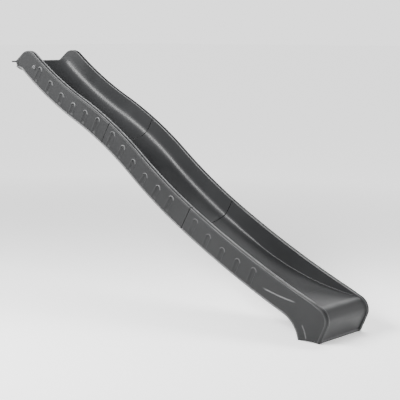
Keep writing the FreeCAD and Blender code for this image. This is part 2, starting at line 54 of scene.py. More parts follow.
# The three mouldings of a wave slide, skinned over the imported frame. The side view is worked out
# in millimetres, x from the platform's edge and z from the ground. Each skin is a ring of points
# across the slide, carried along it. Slopes are in degrees below the level, and to_frame() takes
# points to the frame's metres.

MM = 0.001
ORIGIN = np.array([-26.0, 0.0, 1490.0])

# across the slide, from its middle: outer wall, chute and the flat of the underside
HALF_WIDTH = 208.0
CHUTE_HALF = 178.0
BELLY_FLAT = 150.0

# below the rim and square to it: lower edge, floor beside the wall, deepest line of the floor
SIDE_DEPTH = 163.8
JUNCTION_DEPTH = 118.0
TROUGH_DEPTH = 163.0
TROUGH_RISE = 45.0
FLOOR_ARC_RADIUS = (CHUTE_HALF ** 2 + TROUGH_RISE ** 2) / (2 * TROUGH_RISE)
TROUGH_BLEND = 5.0
BELLY_DEPTH = 20.0

# flange, hump and end face
FLANGE_LENGTH = 48.0
FLANGE_TOP = 1500.0
FLANGE_THICKNESS = 10.0
FLANGE_HOLE_SPACING = 110.0
FLANGE_HOLE_RADIUS = 3.5
FLANK_SLOPE = 36.0
CREST_RADIUS = 110.0
END_FACE_FOOT = 1456.0
UNDERSIDE_CORNER = 60.0

# each arc of the wave: radius, slope at its lower end, 1 where it gets steeper
WAVE_START = np.array([190.0, 1546.6])
START_SLOPE = 37.2
WAVE = ((2517.0, 25.0, -1), (2645.0, 38.2, 1), (3746.0, 29.8, -1), (6814.0, 21.25, -1))
END_SLOPE = WAVE[-1][1]
SEAMS = (901.0, 1586.0)
HALF_GAP = 0.6

# entry, run-out and trough of the floor
ENTRY_RADIUS = 160.0
FLOOR_END_SLOPE = 27.5
RUN_OUT_RADIUS = 1912.0
RUN_OUT_SLOPE = 5.25
TROUGH_ENTRY_RADIUS = 454.0
TROUGH_ENTRY_SLOPE = 52.5
TROUGH_RUN_OUT_RADIUS = 2250.0
TROUGH_END_SLOPE = 8.0
TROUGH_RUN_ON = 400.0

# nose, arch and foot
NOSE_RADIUS = 80.0
NOSE_RECESS = 11.0
FRONT_SLOPE = 115.0
ARCH_START_X = 2290.0
ARCH_RIM_X = ARCH_START_X + SIDE_DEPTH * math.sin(math.radians(END_SLOPE))
ARCH_RADIUS = 172.0
ARCH_MIDDLE_SLOPE = 46.0
HEEL_SLOPE = 72.0
FLARE_HEIGHT = 18.0
FLARE_SHARE = 0.75

# place among a track's knots where the wave starts
WAVE_KNOT = 4


# ---------------------------------------------------------------- smooth steps and humps

def smooth(x):
    """0 below 0, 1 above 1 and an easy rise between."""
    x = np.clip(x, 0, 1)
    return x * x * (3 - 2 * x)


def bump(x, centre, width):
    """A smooth hump, 1 at its centre and 0 at half its width each side."""
    return smooth(1 - 2 * np.abs(x - centre) / width)


def band(x, centre, width, size):
    """A smooth hump of this size."""
    return size * bump(x, centre, width)


def soft_max(first, second, blend):
    """The larger of two, rounded over where they are close."""
    return (first + second + np.sqrt((first - second) ** 2 + blend ** 2)) / 2


def spaced(places, counts):
    """Values from each place to the next, in this many even steps."""
    values = [places[0]]
    for start, end, count in zip(places, places[1:], counts):
        values += list(np.linspace(start, end, count + 1)[1:])
    return np.array(values)


# ---------------------------------------------------------------- tracks in the side view

def along(heading):
    angle = np.radians(heading)
    return np.stack([np.cos(angle), -np.sin(angle)], axis=-1)


def below(heading):
    angle = np.radians(heading)
    return np.stack([-np.sin(angle), -np.cos(angle)], axis=-1)


class Track:
    """A line in the side view, sampled about every millimetre, with its heading at each point."""

    def __init__(self, start, heading):
        self.points = [np.array(start, float)]
        self.headings = [float(heading)]
        self.marks = [0]

    def run(self, length):
        count = max(2, int(abs(length)))
        steps = np.linspace(0, length, count + 1)[1:]
        start, heading = self.points[-1], self.headings[-1]
        self.points += [start + along(heading) * step for step in steps]
        self.headings += [heading] * count
        return self

    def run_to_height(self, z):
        return self.run((self.points[-1][1] - z) / math.sin(math.radians(self.headings[-1])))

    def run_to_x(self, x):
        return self.run((x - self.points[-1][0]) / math.cos(math.radians(self.headings[-1])))

    def corner(self, heading):
        """A sharp change of heading."""
        self.points.append(self.points[-1].copy())
        self.headings.append(float(heading))
        return self

    def turn(self, radius, heading):
        """An arc to a new heading."""
        first = self.headings[-1]
        reach = radius if heading > first else -radius
        centre = self.points[-1] + below(first) * reach
        count = max(8, int(radius * abs(math.radians(heading - first))))
        for here in np.linspace(first, heading, count + 1)[1:]:
            self.points.append(centre - below(here) * reach)
            self.headings.append(float(here))
        return self

    def wave(self, depth, last_arc=len(WAVE) - 1, last_slope=END_SLOPE):
        """The wave's arcs at this depth below the rim, as far as a slope on the last one."""
        for radius, slope, side in WAVE[:last_arc]:
            self.turn(radius - side * depth, slope)
        radius, _, side = WAVE[last_arc]
        return self.turn(radius - side * depth, last_slope)

    def mark(self):
        """Remember this place as one that the tracks share."""
        self.marks.append(len(self.points) - 1)
        return self

    def finish(self):
        self.points = np.array(self.points)
        self.headings = np.array(self.headings)
        steps = np.linalg.norm(np.diff(self.points, axis=0), axis=1)
        self.lengths = np.concatenate([[0], np.cumsum(steps)])
        self.knots = self.lengths[self.marks]
        return self

    def at(self, lengths):
        x = np.interp(lengths, self.lengths, self.points[:, 0])
        z = np.interp(lengths, self.lengths, self.points[:, 1])
        return np.stack([x, z], axis=-1)

    def heading_at(self, lengths):
        return np.interp(lengths, self.lengths, self.headings)

    def length_at_x(self, x):
        """Length along the track to this x, on the stretch that runs down the slide."""
        downhill = slice(0, int(np.argmax(self.points[:, 0])))
        return float(np.interp(x, self.points[downhill, 0], self.lengths[downhill]))

    def heading_at_x(self, x):
        return float(self.heading_at(self.length_at_x(x)))


def wave_start(depth):
    return WAVE_START + below(START_SLOPE) * depth


def ramp_down(track, radius, end, slope):
    """From a level line through a rounded corner and down a ramp to a point on this slope."""
    angle = math.radians(slope)
    drop = track.points[-1][1] - end[1] - radius * (1 - math.cos(angle))
    ramp = drop / math.sin(angle)
    corner_x = end[0] - ramp * math.cos(angle) - radius * math.sin(angle)
    return track.run_to_x(corner_x).turn(radius, slope).run(ramp)


def rim_track():
    """Flange, flank, crest, wave, nose and front of the side walls."""
    crest_start = wave_start(0) + below(START_SLOPE) * CREST_RADIUS
    flank_top = crest_start - below(-FLANK_SLOPE) * CREST_RADIUS
    flank_length = (flank_top[1] - FLANGE_TOP) / math.sin(math.radians(FLANK_SLOPE))
    flank_foot = flank_top - along(-FLANK_SLOPE) * flank_length
    track = Track((-FLANGE_LENGTH, FLANGE_TOP), 0)
    track.run_to_x(flank_foot[0]).mark().corner(-FLANK_SLOPE)
    track.run(flank_length * 0.1).mark().run(flank_length * 0.2).mark()
    track.run(flank_length * 0.7).turn(CREST_RADIUS, START_SLOPE).mark()
    track.wave(0).mark().turn(NOSE_RADIUS, FRONT_SLOPE).mark()
    return track.run_to_height(0).mark().finish()


def bottom_track():
    """Flange, end face, underside, arch and heel: the lower edge of the side walls."""
    flange_foot = FLANGE_TOP - FLANGE_THICKNESS
    track = Track((-FLANGE_LENGTH, flange_foot), 0)
    track.run_to_x(rim.points[rim.marks[1]][0]).mark().run_to_x(0).mark()
    track.corner(90).run(flange_foot - END_FACE_FOOT).mark().corner(0)
    ramp_down(track, UNDERSIDE_CORNER, wave_start(SIDE_DEPTH), START_SLOPE)
    track.mark().wave(SIDE_DEPTH, last_slope=rim.heading_at_x(ARCH_RIM_X)).mark()
    track.turn(ARCH_RADIUS, ARCH_MIDDLE_SLOPE).mark().turn(ARCH_RADIUS, HEEL_SLOPE).mark()
    return track.run_to_height(0).mark().finish()


def floor_track():
    """Flange, floor beside the walls, run-out, lip and front panel."""
    track = Track((-FLANGE_LENGTH, FLANGE_TOP), 0)
    track.run(FLANGE_LENGTH * 0.85).mark().run(FLANGE_LENGTH * 0.1).mark().run_to_x(0).mark()
    ramp_down(track, ENTRY_RADIUS, wave_start(JUNCTION_DEPTH), START_SLOPE)
    track.mark().wave(JUNCTION_DEPTH, last_slope=FLOOR_END_SLOPE).turn(RUN_OUT_RADIUS, RUN_OUT_SLOPE)
    lip_radius = NOSE_RADIUS - NOSE_RECESS
    nose_centre = Track(WAVE_START, START_SLOPE).wave(0).points[-1] + below(END_SLOPE) * NOSE_RADIUS
    lip_start = nose_centre - below(RUN_OUT_SLOPE) * lip_radius
    track.run_to_x(lip_start[0]).mark().turn(lip_radius, FRONT_SLOPE).mark()
    return track.run_to_height(0).mark().finish()


def trough_track():
    """Deepest line of the concave floor."""
    centre = wave_start(TROUGH_DEPTH) - below(START_SLOPE) * TROUGH_ENTRY_RADIUS
    track = Track(centre + below(TROUGH_ENTRY_SLOPE) * TROUGH_ENTRY_RADIUS, TROUGH_ENTRY_SLOPE)
    track.turn(TROUGH_ENTRY_RADIUS, START_SLOPE).mark()
    track.wave(TROUGH_DEPTH, last_arc=2, last_slope=rim.heading_at_x(SEAMS[1]))
    return track.turn(TROUGH_RUN_OUT_RADIUS, TROUGH_END_SLOPE).run(TROUGH_RUN_ON).finish()


rim = rim_track()
bottom = bottom_track()
floor = floor_track()
trough = trough_track()


# ---------------------------------------------------------------- the lines at each station

def depth_below(track, points, headings, fallback):
    """How deep each rim point's normal goes before it meets a track."""
    depths = []
    for point, heading in zip(points, headings):
        ahead = (track.points - point) @ along(heading)
        crossing = np.interp(0, ahead, np.arange(len(ahead)))
        index = min(int(crossing), len(ahead) - 2)
        share = crossing - index
        met = track.points[index] * (1 - share) + track.points[index + 1] * share
        reached = ahead[0] < 0 < ahead[-1]
        depths.append(float((met - point) @ below(heading)) if reached else fallback)
    return np.array(depths)


def floor_length_below(rim_length):
    """Length along the floor's edge straight below a place on the rim."""
    point = rim.at(np.array([rim_length]))[0]
    ahead = (floor.points - point) @ along(float(rim.heading_at(rim_length)))
    return float(np.interp(0, ahead, floor.lengths))


def with_arch(knots, arch_length):
    """A track's knots, with the place where the arch starts put in after the wave's start."""
    return np.concatenate([knots[:WAVE_KNOT + 1], [arch_length], knots[WAVE_KNOT + 1:]])


class Stations:
    """Where the rim, lower edge, floor edge and trough lie at chosen lengths along the rim."""

    def __init__(self, lengths):
        wave_from, wave_to = rim.knots[WAVE_KNOT], rim.length_at_x(ARCH_RIM_X)
        rim_knots = with_arch(rim.knots, wave_to)
        floor_knots = with_arch(floor.knots, floor_length_below(wave_to))
        bottom_lengths = np.interp(lengths, rim_knots, bottom.knots)
        self.lengths = lengths
        self.rim = rim.at(lengths)
        self.rim_heading = rim.heading_at(lengths)
        self.bottom = bottom.at(bottom_lengths)
        self.bottom_heading = bottom.heading_at(bottom_lengths)
        self.floor = floor.at(np.interp(lengths, rim_knots, floor_knots))
        self.trough = self.floor.copy()
        self.follow_wave((lengths >= wave_from) & (lengths <= wave_to))
        self.follow_entry(lengths < wave_from, wave_from)
        self.flare_foot()
        self.wall_height = np.linalg.norm(self.floor - self.rim, axis=1)

    def follow_wave(self, on_wave):
        """Along the wave, every line is found square to the rim."""
        points, headings = self.rim[on_wave], self.rim_heading[on_wave]
        down = below(headings)
        floor_depth = depth_below(floor, points, headings, JUNCTION_DEPTH)
        trough_depth = depth_below(trough, points, headings, 0.0)
        trough_depth = soft_max(trough_depth, floor_depth, TROUGH_BLEND)
        self.bottom[on_wave] = points + down * SIDE_DEPTH
        self.bottom_heading[on_wave] = headings
        self.floor[on_wave] = points + down * floor_depth[:, None]
        self.trough[on_wave] = points + down * trough_depth[:, None]

    def follow_entry(self, entry, wave_from):
        """Between the flange and the wave, the trough opens out of the level floor."""
        share = np.interp(self.lengths[entry], [rim.knots[2], wave_from], [0, 1])
        deepest = trough.at(share * trough.knots[1])
        deepest[:, 1] = np.minimum(deepest[:, 1], FLANGE_TOP)
        mix = np.clip(share * 12, 0, 1)[:, None]
        self.trough[entry] = self.floor[entry] * (1 - mix) + deepest * mix

    def flare_foot(self):
        """Close to the ground, the front panel comes forward towards the rim."""
        flare = FLARE_SHARE * (1 - smooth(self.floor[:, 1] / FLARE_HEIGHT))[:, None]
        for line in (self.floor, self.trough):
            line += (self.rim - line) * flare


# ---------------------------------------------------------------- recesses and beads of the walls

RELIEF = 3.0

# first and last rim x, count and strength of each moulding's recesses
RECESS_ROWS = ((270.0, 815.0, 6, 1.0), (955.0, 1457.0, 6, 0.85), (1651.0, 2095.0, 5, 0.5))
RECESS_HALF = 17.0
RECESS_DEPTH = 6.5
RECESS_FOOT = 151.0
RECESS_FADE = 25.0
RECESS_MARGIN = 4.0
CROWN_DEPTH = 38.0
CROWN_BOW = 28.0
CROWN_RAMP = 5.0
BROW_WIDTH = 6.5
BROW_OVERLAP = 2.0
BROW_FALL = 3.0
# a recess's two sides: width of its slope, width of its brow's slope, brow's height and painted
# highlight
UPHILL_SIDE = (14.0, 5.0, 0.3, 0.06)
DOWNHILL_SIDE = (3.0, 2.5, 0.9, 0.0)

# two creases by the foot: their ends, bow and width
CREASES = (((2132.0, 262.0), (2381.0, 210.0), 5.0, 12.0),
           ((2417.0, 96.0), (2449.0, 12.0), -5.0, 11.0))

# bands along the outer wall: depth below the rim, width and size; two grooves and two painted highlight
# lines
WALL_TOP_GROOVE = (13.0, 11.0, 2.2)
WALL_FOOT_GROOVE = (150.0, 12.0, 1.6)
WALL_TOP_PAINTED_HIGHLIGHT = (5.0, 12.0, 0.7)
WALL_FOOT_PAINTED_HIGHLIGHT = (157.0, 12.0, 0.8)
EDGE_BEAD_TOP = 153.0
EDGE_BEAD_RAMP = 5.0
FADE_START = rim.length_at_x(2380.0)
FADE_LENGTH = 120.0

HOSE_INLET = np.array([187.0, 1462.0])
HOSE_HOLE_RADIUS = 9.2
BOSS_RADIUS = 14.0
BOSS_RAMP = 4.0


def recess_places():
    """Length along the rim, crown depth and strength of every recess."""
    places = []
    for first, last, count, strength in RECESS_ROWS:
        for number in range(count):
            share = number / (count - 1)
            place = rim.length_at_x(first + share * (last - first))
            places.append((place, CROWN_DEPTH + CROWN_BOW * math.sin(math.pi * share), strength))
    return places


RECESSES = recess_places()


def recess_relief(length, depth):
    """How far a recess pushes the outer wall in, how far the brow round its edge stands out and
    how much painted highlight the brow carries, most on its upward cap, at this length along the rim
    and these depths below it."""
    pushed = np.zeros(len(depth))
    brow = np.zeros(len(depth))
    painted_highlight = np.zeros(len(depth))
    for place, crown, strength in RECESSES:
        across = length - place
        if abs(across) > RECESS_HALF + BROW_WIDTH:
            continue
        side = DOWNHILL_SIDE if across > 0 else UPHILL_SIDE
        side_ramp, brow_ramp, side_brow, side_painted_highlight = side
        spring = crown + RECESS_HALF
        in_crown = depth < spring
        inside = RECESS_HALF - np.hypot(across, np.minimum(depth - spring, 0))
        foot = strength * smooth((RECESS_FOOT - depth) / RECESS_FADE)
        ramp = np.where(in_crown, CROWN_RAMP, side_ramp)
        pushed = np.maximum(pushed, RECESS_DEPTH * smooth(inside / ramp) * foot)
        ridge = foot * smooth((inside + BROW_WIDTH) / brow_ramp)
        ridge *= smooth((BROW_OVERLAP - inside) / BROW_FALL)
        brow = np.maximum(brow, RELIEF * ridge * np.where(in_crown, 1.0, side_brow))
        # painted highlight on the brow round each recess, strongest where its cap faces up
        upwards = smooth((spring - depth) / RECESS_HALF * 1.5)
        painted_highlight = np.maximum(painted_highlight, ridge * np.maximum(upwards, side_painted_highlight))
    return pushed, brow, painted_highlight


def crease(points, start, end, bow, width):
    """A slender bead along a bowed line between two points of the wall, 1 along its ridge."""
    start, end = np.array(start), np.array(end)
    size = np.linalg.norm(end - start)
    line = (end - start) / size
    side = np.array([line[1], -line[0]])
    ahead = (points - start) @ line / size
    across = (points - start) @ side - bow * np.sin(np.pi * np.clip(ahead, 0, 1))
    return smooth(ahead * 6) * smooth((1 - ahead) * 6) * bump(across, 0, width)


def outer_wall(length, depth, plane, wall):
    """Half the slide's width on the outer wall: flat, with grooves beside the edge beads, the
    recesses, the creases by the foot and the boss round the hose inlet; and the painted highlight on
    brows, creases and two lines."""
    pushed, brow, painted_highlight = recess_relief(length, depth)
    creases = sum(crease(plane, *each) for each in CREASES)
    # painted highlight along the creases and in two lines, under the rim and above the lower edge
    painted_highlight += creases + band(depth, *WALL_FOOT_PAINTED_HIGHLIGHT) + band(depth, *WALL_TOP_PAINTED_HIGHLIGHT)
    relief = RELIEF * (creases - 1) + brow
    fade = 1 - smooth((length - FADE_START) / FADE_LENGTH)
    relief -= fade * (band(depth, *WALL_TOP_GROOVE) + band(depth, *WALL_FOOT_GROOVE))
    relief += RELIEF * smooth((depth - EDGE_BEAD_TOP) / EDGE_BEAD_RAMP)
    from_inlet = np.linalg.norm(plane - HOSE_INLET, axis=1)
    boss = 1 - smooth((from_inlet - BOSS_RADIUS) / BOSS_RAMP)
    relief += (RELIEF - brow) * boss
    y = HALF_WIDTH + wall * (np.minimum(relief, 0) - pushed * (1 - boss))
    return y, wall * painted_highlight


# ---------------------------------------------------------------- rings across the slide

# the rim's top: point counts of its two beads and the groove between them, groove depth, and the
# painted highlight on each bead
OUTER_BEAD_POINTS = 11
INNER_BEAD_POINTS = 9
GROOVE_POINTS = 13
RIM_GROOVE_DEPTH = 4.0
OUTER_BEAD_PAINTED_HIGHLIGHT = 0.7
INNER_BEAD_PAINTED_HIGHLIGHT = 1.4

# how far a wall runs square from its rim and its lower edge; a shorter one is the flange's
WALL_EASE = 14.0
THIN_WALL = 30.0
# the height over which the flange's low edge grows into a full wall
WALL_GROWS_FROM = 12.0
WALL_GROWTH = 30.0

NOSE_TURN_START = rim.length_at_x(2440.0)
NOSE_TURN_LENGTH = 130.0

# rows of points down the outer wall and across the underside
WALL_ROWS_FROM, WALL_ROWS_TO = 28.0, 140.0
WALL_ROW_COUNTS = (11, 45, 10)
BELLY_CURVE_COUNT = 9
BELLY_FLAT_COUNT = 6
# painted highlight along the rounding of the lower edge
LOWER_EDGE_PAINTED_HIGHLIGHT = 0.8

# rows of points down the inner wall, round the corner and across the floor
INNER_WALL_POINTS = 14
CORNER_POINTS = 14
FLOOR_POINTS = 19
NOSE_CORNER = 20.0

# the corner between wall and floor: broad at the top, sharp towards the exit
CORNER_PLACES = [rim.length_at_x(x) for x in (60.0, 850.0, 1400.0, 1650.0, 1900.0)]
CORNER_SIZES = (58.0, 44.0, 37.0, 32.0, 7.0)

# painted highlights inside the chute: the front panel's foot, by height, and the lip's crest, by length
LIP_START = rim.knots[5]
PANEL_FOOT_HEIGHT, PANEL_FOOT_WIDTH, PANEL_FOOT_PAINTED_HIGHLIGHT = 12.0, 16.0, 0.7
LIP_CREST, LIP_CREST_WIDTH, LIP_CREST_PAINTED_HIGHLIGHT = LIP_START + 14, 56.0, 0.45

# distances between stations: plain stretches, recesses, entry and foot
PLAIN_STEP = 9.0
RECESS_STEP = 2.0
ENTRY_STEP = 2.5
FOOT_STEP = 4.0
FOOT_STEPS_START = rim.length_at_x(2130.0)
ENTRY_STEPS_END = rim.knots[WAVE_KNOT] + 40
LEAST_STEP = 0.35
END_STEPS = (0.4, 0.9, 1.6, 2.5, 3.5, 5.0)

# edges sharper than this are not shaded smooth, and points this close, in metres, are joined
SHARP_ANGLE = math.radians(38)
JOIN_DISTANCE = 0.00002
# how far a cutter reaches past the surfaces it cuts
CUTTER_PAST = 5.0


def arc_points(centre_y, centre_v, radius, first, last, count):
    """An arc across the slide, as y and depth, between two angles above the level."""
    angles = np.radians(np.linspace(first, last, count))
    return centre_y + radius * np.cos(angles), centre_v - radius * np.sin(angles)


def in_space(line, y):
    """Points in space from a line in the side view and its distances from the slide's middle."""
    return np.column_stack([line[:, 0], np.broadcast_to(y, len(line)), line[:, 1]])


def wall_share(stations, i):
    """0 on the thin flange, rising to 1 on the full walls."""
    height = np.linalg.norm(stations.bottom[i] - stations.rim[i])
    return float(smooth((height - WALL_GROWS_FROM) / WALL_GROWTH))


def nose_share(length):
    """0 along the slide, rising to 1 where the rim turns over the nose."""
    return float(smooth((length - NOSE_TURN_START) / NOSE_TURN_LENGTH))


def rim_radius(wall, nose):
    """Radius of the rim's outer edge."""
    return 2.5 + 2.5 * wall + 10 * nose


def rim_profile(wall, nose, height):
    """The rim's top from its outer side to its inner side: a bead, a shallow groove and a
    second bead, as y, depth and painted highlight. wall is 0 on the thin flange and 1 on a full wall,
    and nose is 1 where the rim wraps over the nose, with softer edges."""
    outer = rim_radius(wall, nose)
    inner = min(1.5 + 3 * wall + 3 * nose, 0.45 * height + 0.3)
    outer_y, outer_v = arc_points(HALF_WIDTH - outer, outer, outer, 0, 90, OUTER_BEAD_POINTS)
    inner_y, inner_v = arc_points(CHUTE_HALF + inner, inner, inner, 90, 180, INNER_BEAD_POINTS)
    share = np.linspace(0, 1, GROOVE_POINTS)[1:-1]
    groove_y = outer_y[-1] + (inner_y[0] - outer_y[-1]) * share
    groove_v = RIM_GROOVE_DEPTH * wall * (1 - 0.7 * nose) * np.sin(np.pi * share) ** 0.6
    # painted highlight along the outer bead, the groove's inner side and the inner bead, weaker on the
    # flange and over the nose
    outer_painted_highlight = OUTER_BEAD_PAINTED_HIGHLIGHT * np.linspace(1, 0, OUTER_BEAD_POINTS) ** 2
    groove_painted_highlight = INNER_BEAD_PAINTED_HIGHLIGHT * smooth(2 * share - 1)
    inner_painted_highlight = INNER_BEAD_PAINTED_HIGHLIGHT * np.linspace(1, 0, INNER_BEAD_POINTS)
    y = np.concatenate([outer_y, groove_y, inner_y])
    v = np.concatenate([outer_v, groove_v, inner_v])
    painted_highlight = np.concatenate([outer_painted_highlight, groove_painted_highlight, inner_painted_highlight])
    return y, v, painted_highlight * ((0.3 + 0.7 * wall) * (1 - 0.6 * nose))


def wall_plane(stations, i, depth):
    """Points of a side wall's plane this deep below the rim, leaving the rim and reaching the
    lower edge at right angles. On the thin flange the depths are squeezed to fit."""
    top, foot = stations.rim[i], stations.bottom[i]
    reach = np.linalg.norm(foot - top)
    if reach < THIN_WALL:
        start, edge = depth[0], SIDE_DEPTH - depth[-1]
        thin = start + (depth - start) / (depth[-1] - start) * (reach - edge - start)
        return top + (foot - top) * (thin / reach)[:, None]
    top_down = below(stations.rim_heading[i])
    foot_down = below(stations.bottom_heading[i])
    first = top + top_down * WALL_EASE
    last = foot - foot_down * WALL_EASE
    share = np.clip((depth - WALL_EASE) / (SIDE_DEPTH - 2 * WALL_EASE), 0, 1)[:, None]
    middle = first * (1 - share) + last * share
    middle += top_down * np.minimum(depth - WALL_EASE, 0)[:, None]
    return middle + foot_down * np.maximum(depth - SIDE_DEPTH + WALL_EASE, 0)[:, None]


def underside(edge, belly):
    """Round the lower edge and across the underside to its middle, as y and depth below it."""
    corner_y, corner_v = arc_points(HALF_WIDTH - edge, -edge, edge, 0, -90, 7)
    flat_y = spaced((HALF_WIDTH - edge, BELLY_FLAT, 0), (BELLY_CURVE_COUNT, BELLY_FLAT_COUNT))[1:]
    rise = belly * np.sin(np.linspace(0, math.pi / 2, BELLY_CURVE_COUNT + 1)[1:])
    y = np.concatenate([corner_y[1:], flat_y])
    return y, np.concatenate([corner_v[1:], rise, np.full(BELLY_FLAT_COUNT, belly)])


def outer_half(stations, i):
    """From the rim's outer side down the outer wall and across the underside to its middle, and
    the painted highlight at each point."""
    length = stations.lengths[i]
    wall = wall_share(stations, i)
    edge = 2.0 + 4.0 * wall
    first = rim_radius(wall, nose_share(length)) + 0.1
    depth = spaced((first, WALL_ROWS_FROM, WALL_ROWS_TO, SIDE_DEPTH - edge), WALL_ROW_COUNTS)
    plane = wall_plane(stations, i, depth)
    wall_y, wall_painted_highlight = outer_wall(length, depth, plane, wall)
    lower_y, lower_v = underside(edge, BELLY_DEPTH * wall)
    lower = stations.bottom[i] + below(stations.bottom_heading[i]) * lower_v[:, None]
    # painted highlight along the rounding of the lower edge
    lower_painted_highlight = LOWER_EDGE_PAINTED_HIGHLIGHT * wall * (lower_v < 0.5 * edge)
    points = np.concatenate([in_space(plane, wall_y), in_space(lower, lower_y)])
    return points, np.concatenate([wall_painted_highlight, lower_painted_highlight])


def inner_wall(stations, i, depth):
    """Points down the inner wall, square to the rim at first and then on to the floor's edge."""
    top, edge = stations.rim[i], stations.floor[i]
    share = (depth / max(stations.wall_height[i], 1e-6))[:, None]
    upright = top + below(stations.rim_heading[i]) * depth[:, None]
    straight = top + (edge - top) * share
    mix = smooth(share * 1.5)
    return upright * (1 - mix) + straight * mix


def floor_line(stations, i, y):
    """Points of the concave floor, this far from the slide's middle."""
    edge, deep = stations.floor[i], stations.trough[i]
    sag = (FLOOR_ARC_RADIUS - np.sqrt(FLOOR_ARC_RADIUS ** 2 - y ** 2)) / TROUGH_RISE
    return edge + (deep - edge) * (1 - sag)[:, None]


def bend(start, middle, end, count):
    """A smooth bend that leaves start towards middle and arrives at end from it."""
    return [(1 - t) ** 2 * start + 2 * t * (1 - t) * middle + t * t * end
            for t in np.linspace(0, 1, count + 1)[1:]]


def inner_half(stations, i):
    """From the rim's inner side down the inner wall, through the corner and across the floor to
    its middle."""
    height, length = stations.wall_height[i], stations.lengths[i]
    nose = nose_share(length)
    corner = np.interp(length, CORNER_PLACES, CORNER_SIZES)
    start = min(4.5 + 3 * nose, height * 0.45)
    depth = np.linspace(start, height - min(corner, height * 0.5), INNER_WALL_POINTS)
    walls = in_space(inner_wall(stations, i, depth), CHUTE_HALF)
    bend_y = CHUTE_HALF - (corner * (1 - nose) + NOSE_CORNER * nose)
    floor_y = np.linspace(bend_y, 0, FLOOR_POINTS + 1)
    floors = in_space(floor_line(stations, i, floor_y), floor_y)
    edge = stations.floor[i]
    corner_point = np.array([edge[0], CHUTE_HALF, edge[1]])
    return np.concatenate([walls, bend(walls[-1], corner_point, floors[0], CORNER_POINTS), floors[1:]])


def chute_painted_highlight(length, points):
    """Painted highlights inside the chute: the front panel's foot and the crest of the lip."""
    # painted highlight at the foot of the front panel and over the lip's crest
    foot = PANEL_FOOT_PAINTED_HIGHLIGHT * smooth((length - LIP_START) / 40)
    foot = foot * bump(points[:, 2], PANEL_FOOT_HEIGHT, PANEL_FOOT_WIDTH)
    crest = LIP_CREST_PAINTED_HIGHLIGHT * bump(length, LIP_CREST, LIP_CREST_WIDTH)
    return foot + crest * (points[:, 1] < CHUTE_HALF - 8)


def ring(stations, i):
    """Half a ring, from the underside's middle round the wall to the floor's middle, with the
    painted highlight at each point and the number of points before the chute."""
    length = stations.lengths[i]
    y, v, top_painted_highlight = rim_profile(wall_share(stations, i), nose_share(length),
                                    stations.wall_height[i])
    top = in_space(stations.rim[i] + below(stations.rim_heading[i]) * v[:, None], y)
    outer, outer_painted_highlight = outer_half(stations, i)
    inner = inner_half(stations, i)
    # painted highlight values all round the ring
    painted_highlight = np.concatenate([outer_painted_highlight[::-1], top_painted_highlight, chute_painted_highlight(length, inner)])
    return np.concatenate([outer[::-1], top, inner]), painted_highlight, len(outer) + len(top)


# ---------------------------------------------------------------- from rings to mouldings

def station_lengths(first, last):
    """Close together where the shape changes fast, and further apart elsewhere."""
    fine = [(place - RECESS_HALF - RECESS_MARGIN, place + RECESS_HALF + RECESS_MARGIN, RECESS_STEP)
            for place, _, _ in RECESSES]
    fine.append((rim.knots[0], ENTRY_STEPS_END, ENTRY_STEP))
    fine.append((FOOT_STEPS_START, rim.knots[-1], FOOT_STEP))
    lengths = list(np.arange(first, last, PLAIN_STEP)) + [last]
    for start, end, step in fine:
        lengths = [s for s in lengths if not start < s < end]
        lengths += [s for s in np.arange(start, end, step) if first < s < last]
    lengths += [first + step for step in END_STEPS] + [last - step for step in END_STEPS]
    kept = [first]
    for length in sorted(lengths):
        if length - kept[-1] > LEAST_STEP:
            kept.append(length)
    kept[-1] = last
    return np.array(kept)


def end_inset(distance, radius):
    """How far an end's rounded edge lies inside the surface, this far from the end."""
    if distance >= radius:
        return 0.0
    return radius - math.sqrt(radius ** 2 - (radius - distance) ** 2)


def inset_ring(half, downwards, amount):
    """Move a half ring inwards, across the slide's own section."""
    down = downwards / np.linalg.norm(downwards)
    depth = half[:, [0, 2]] @ down
    step_y = np.gradient(half[:, 1])
    step_v = np.gradient(depth)
    size = np.hypot(step_y, step_v)
    size[size == 0] = 1
    moved = half.copy()
    moved[:, 1] += amount * step_v / size
    moved[:, [0, 2]] -= (amount * step_y / size)[:, None] * down
    moved[0, 1] = moved[-1, 1] = 0
    return moved


def moulding(name, first, last, first_radius, last_radius):
    """The skin of one moulding between two lengths along the rim, its ends rounded."""
    lengths = station_lengths(first, last)
    stations = Stations(lengths)
    rows, painted_highlight_rows = [], []
    for i, length in enumerate(lengths):
        half, painted_highlight, inner_start = ring(stations, i)
        amount = max(end_inset(length - first, first_radius), end_inset(last - length, last_radius))
        if amount:
            half = inset_ring(half, stations.bottom[i] - stations.rim[i], amount)
        rows.append(half)
        painted_highlight_rows.append(painted_highlight)
    return build_mesh(name, np.array(rows), np.array(painted_highlight_rows), inner_start)


def to_frame(points):
    return (points - ORIGIN) * MM


def add_object(name, data):
    item = bpy.data.objects.new(name, data)
    bpy.context.scene.collection.objects.link(item)
    return item


def add_point_values(mesh, name, values):
    layer = mesh.attributes.new(name, "FLOAT", "POINT")
    layer.data.foreach_set("value", values.astype(np.float32).ravel())


def both_sides(halves):
    """Whole rings from half rings: the other side follows in reverse, without the middles."""
    return np.concatenate([halves, halves[:, 1:-1][:, ::-1]], axis=1)


